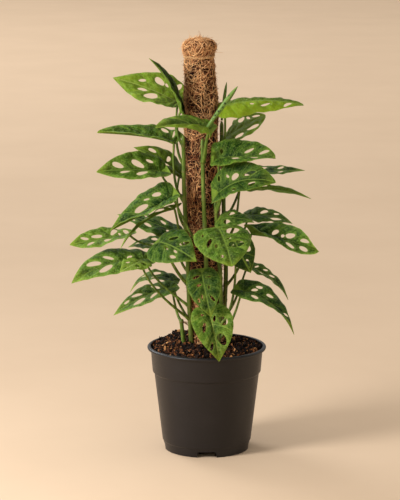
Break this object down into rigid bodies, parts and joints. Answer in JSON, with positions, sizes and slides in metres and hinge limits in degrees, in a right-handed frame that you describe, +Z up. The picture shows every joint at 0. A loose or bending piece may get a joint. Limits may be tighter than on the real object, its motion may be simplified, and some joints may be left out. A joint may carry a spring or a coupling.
{
  "type": "climbing houseplant in a nursery pot",
  "caption": "Climbing vine with holed heart-shaped leaves on a coir moss pole, rooted in a round black nursery pot of bark soil.",
  "frame": {"origin": "centre of the pot's underside, on the surface it stands on", "axes": "+Z up along the moss pole, -Y towards the plant's front, +X to its right"},
  "size_m": [0.3496, 0.2607, 0.5902],
  "materials": {
    "pot": "satin black-brown polypropylene with a finely sanded skin",
    "soil": "loose dark brown bark and coir chips",
    "core": "bare sawn wood",
    "coir": "rough matted brown coir fibre",
    "twine": "pale twisted coir twine",
    "stem": "smooth satin green stem",
    "leaf": "satin dark green with paler veins",
    "young_leaf": "satin light green with paler veins"
  },
  "bodies": {
    "root": {"leaf_back_1": "leaf", "leaf_back_2": "leaf", "leaf_back_3": "leaf", "leaf_back_4": "leaf", "leaf_back_5": "leaf", "leaf_front_1": "young_leaf", "leaf_front_2": "leaf", "leaf_front_3": "leaf", "leaf_front_4": "young_leaf", "leaf_left_1": "young_leaf", "leaf_left_10": "leaf", "leaf_left_11": "leaf", "leaf_left_12": "young_leaf", "leaf_left_13": "leaf", "leaf_left_14": "leaf", "leaf_left_15": "leaf", "leaf_left_2": "leaf", "leaf_left_3": "leaf", "leaf_left_4": "leaf", "leaf_left_5": "leaf", "leaf_left_6": "leaf", "leaf_left_7": "leaf", "leaf_left_8": "leaf", "leaf_left_9": "leaf", "leaf_right_1": "leaf", "leaf_right_10": "leaf", "leaf_right_11": "leaf", "leaf_right_12": "leaf", "leaf_right_2": "leaf", "leaf_right_3": "leaf", "leaf_right_4": "leaf", "leaf_right_5": "leaf", "leaf_right_6": "leaf", "leaf_right_7": "leaf", "leaf_right_8": "leaf", "leaf_right_9": "leaf", "leaf_rolled_front": "young_leaf", "leaf_rolled_right": "young_leaf", "pole_core": "core", "pole_sleeve": "coir", "pole_tie": "twine", "pot": "pot", "soil": "soil", "vine_back": "stem", "vine_front": "stem", "vine_left": "stem", "vine_left_back": "stem", "vine_left_low": "stem", "vine_right_back": "stem", "vine_right_front": "stem"}
  },
  "joints": []
}
